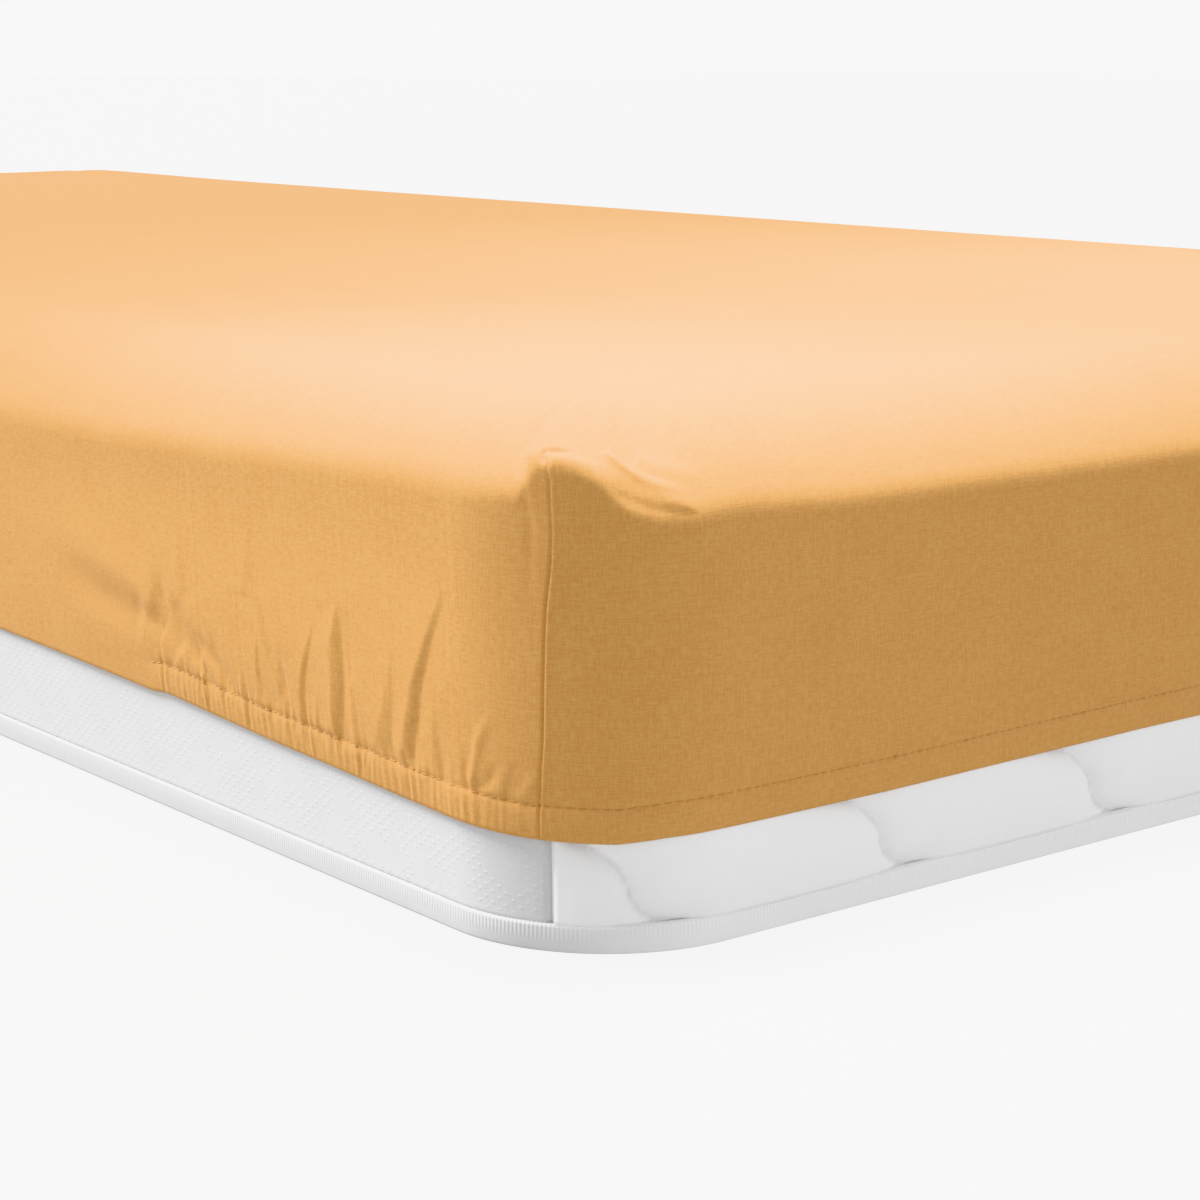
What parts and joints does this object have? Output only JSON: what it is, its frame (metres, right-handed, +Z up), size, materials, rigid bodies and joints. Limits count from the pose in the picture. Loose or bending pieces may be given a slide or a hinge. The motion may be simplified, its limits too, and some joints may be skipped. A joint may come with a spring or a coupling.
{
  "type": "fitted sheet on a mattress",
  "caption": "Plain woven fitted sheet with elastic gathers and sewn corners, stretched over a plain single mattress.",
  "frame": {"origin": "middle of the mattress's underside, on the surface it stands on", "axes": "+Z up, +Y along the mattress's length from the foot end (-Y, on the picture's right) to the head end, +X across its width; the picture's near corner is at -X, -Y"},
  "size_m": [0.9245, 2.0134, 0.209],
  "materials": {
    "sheet_cotton": "matt plain weave, apricot yellow",
    "mattress_cover": "matt white knit and quilted fabric",
    "mattress_tape": "matt white ribbed binding tape"
  },
  "bodies": {
    "root": {"fitted_sheet": "sheet_cotton", "mattress": "mattress_cover", "mattress_tape": "mattress_tape"}
  },
  "joints": []
}
